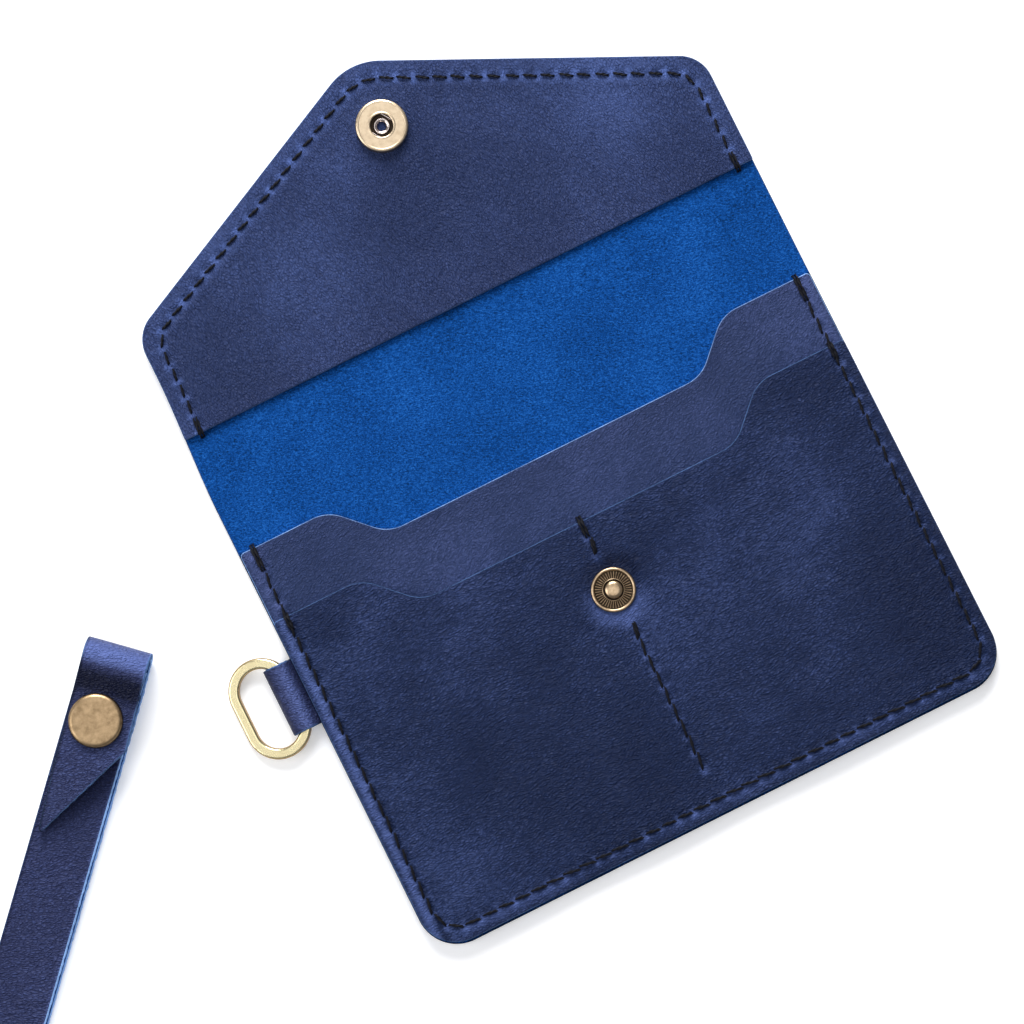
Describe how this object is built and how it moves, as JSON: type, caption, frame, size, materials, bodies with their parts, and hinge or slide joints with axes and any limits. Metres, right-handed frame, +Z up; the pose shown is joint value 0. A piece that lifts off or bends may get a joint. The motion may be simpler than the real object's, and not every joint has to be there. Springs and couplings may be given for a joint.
{
  "type": "wristlet wallet",
  "caption": "Flat leather wallet with a pointed snap flap, two front pockets, an oval ring on a side tab and a loose looped wrist strap that snaps on.",
  "frame": {"origin": "on the plane the wallet lies on, under the middle of its back between the bottom edge and the fold line", "axes": "+X across the wallet, to the right with its inside up; +Y from the pockets to the flap's tip; +Z up, out of the pockets"},
  "size_m": [0.2899, 0.2153, 0.011],
  "materials": {
    "outer_leather": "pull-up grain outside, suede inside",
    "pocket_leather": "pull-up grain",
    "lining_leather": "pull-up grain",
    "strap_leather": "pull-up grain",
    "thread": "waxed twisted thread",
    "antique_brass": "satin",
    "pale_brass": "satin",
    "spring_steel": "bright wire",
    "ring_gold": "polished plating"
  },
  "bodies": {
    "wallet": {"outer_leather_back": "outer_leather", "inner_pocket_panel": "pocket_leather", "front_pocket_panel": "pocket_leather", "ring_tab": "strap_leather", "pocket_seam_thread": "thread", "divider_seam_thread": "thread", "wallet_snap_stud": "pale_brass", "wallet_snap_post": "antique_brass"},
    "spine": {"outer_leather_spine": "outer_leather"},
    "flap": {"outer_leather_flap": "outer_leather", "flap_lining": "lining_leather", "flap_seam_thread": "thread", "flap_snap_cap": "antique_brass", "flap_snap_socket": "pale_brass", "flap_snap_spring": "spring_steel"},
    "ring": {"oval_ring": "ring_gold"},
    "strap": {"wrist_strap_loop": "strap_leather", "strap_snap_stud": "pale_brass", "strap_snap_post": "antique_brass"},
    "strap_fold": {"wrist_strap_fold": "strap_leather"},
    "strap_tab": {"wrist_strap_tab": "strap_leather", "strap_snap_cap": "antique_brass", "strap_snap_socket": "pale_brass", "strap_snap_spring": "spring_steel"}
  },
  "joints": [
    {"name": "flap_close", "type": "hinge", "parent": "wallet", "child": "spine", "pos_m": [0, 0.05493, 0.0015], "axis": [1, 0, 0], "range_deg": [0, 89.23]},
    {"name": "flap_close_upper", "type": "hinge", "parent": "spine", "child": "flap", "pos_m": [0, 0.06207, 0.0016], "axis": [1, 0, 0], "range_deg": [0, 89.23]},
    {"name": "ring_swing", "type": "hinge", "parent": "wallet", "child": "ring", "pos_m": [-0.0769, 0.0096, 0.00325], "axis": [0, 1, 0], "range_deg": [0, 115]},
    {"name": "strap_lift_off", "type": "slide", "parent": "wallet", "child": "strap", "axis": [0, 0, 1], "range_m": [0, 0.04]},
    {"name": "strap_unsnap", "type": "hinge", "parent": "strap", "child": "strap_fold", "pos_m": [-0.10761, 0.03689, 0.0015], "axis": [-0.7396, 0.673, 0], "range_deg": [0, 80]},
    {"name": "strap_unsnap_upper", "type": "hinge", "parent": "strap_fold", "child": "strap_tab", "pos_m": [-0.10761, 0.03689, 0.00635], "axis": [-0.7396, 0.673, 0], "range_deg": [0, 80]}
  ],
  "couplings": [
    {"joint": "flap_close_upper", "follows": "flap_close", "ratio": 1},
    {"joint": "strap_unsnap_upper", "follows": "strap_unsnap", "ratio": 1}
  ]
}
